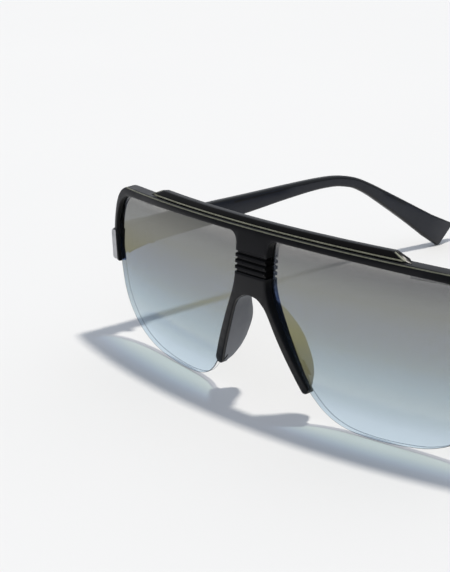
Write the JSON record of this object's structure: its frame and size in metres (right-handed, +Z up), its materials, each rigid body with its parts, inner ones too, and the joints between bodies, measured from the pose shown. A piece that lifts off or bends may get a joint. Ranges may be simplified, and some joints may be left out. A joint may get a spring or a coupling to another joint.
{
  "type": "half-rim sunglasses",
  "caption": "Half-rim sunglasses with a straight brow, raised brow bar, large gradient lenses, grooved bridge, nose pads and folding temples.",
  "frame": {"origin": "bottom centre of the bounding box, on the table the glasses rest on", "axes": "+X towards the wearer's left, -Y the way the front faces, +Y along the temples, +Z up; the plane X=0 is the plane of symmetry"},
  "size_m": [0.151, 0.1567, 0.0535],
  "materials": {
    "frame_black": "satin black injection moulding",
    "temple_black": "satin black injection moulding",
    "inlay_black": "high-gloss black",
    "pinstripe": "pale gold-grey satin line",
    "gradient_lens": "gradient tint, dense brown-grey at the top to pale blue at the bottom, with a light mirror coating",
    "soft_pad": "soft translucent grey",
    "hinge_black": "black-coated steel"
  },
  "bodies": {
    "front": {"front_frame": "frame_black", "brow_bar": "frame_black", "brow_inlay": "inlay_black", "upper_pinstripe": "pinstripe", "lower_pinstripe": "pinstripe", "lens_left": "gradient_lens", "lens_right": "gradient_lens", "nose_pad_left": "soft_pad", "nose_pad_right": "soft_pad", "hinge_front_leaf_left": "hinge_black", "hinge_screw_left": "hinge_black", "front_rivet_lower_left": "hinge_black", "front_rivet_upper_left": "hinge_black", "hinge_front_leaf_right": "hinge_black", "hinge_screw_right": "hinge_black", "front_rivet_lower_right": "hinge_black", "front_rivet_upper_right": "hinge_black"},
    "arm_left": {"temple_left": "temple_black", "hinge_temple_leaf_left": "hinge_black", "temple_rivet_lower_left": "hinge_black", "temple_rivet_upper_left": "hinge_black"},
    "arm_right": {"temple_right": "temple_black", "hinge_temple_leaf_right": "hinge_black", "temple_rivet_lower_right": "hinge_black", "temple_rivet_upper_right": "hinge_black"}
  },
  "joints": [
    {"name": "fold_right", "type": "hinge", "parent": "front", "child": "arm_right", "pos_m": [-0.06935, -0.05695, 0.0326], "axis": [0, 0, -1], "range_deg": [0, 86]},
    {"name": "fold_left", "type": "hinge", "parent": "front", "child": "arm_left", "pos_m": [0.06935, -0.05695, 0.0326], "axis": [0, 0, 1], "range_deg": [0, 79]}
  ]
}
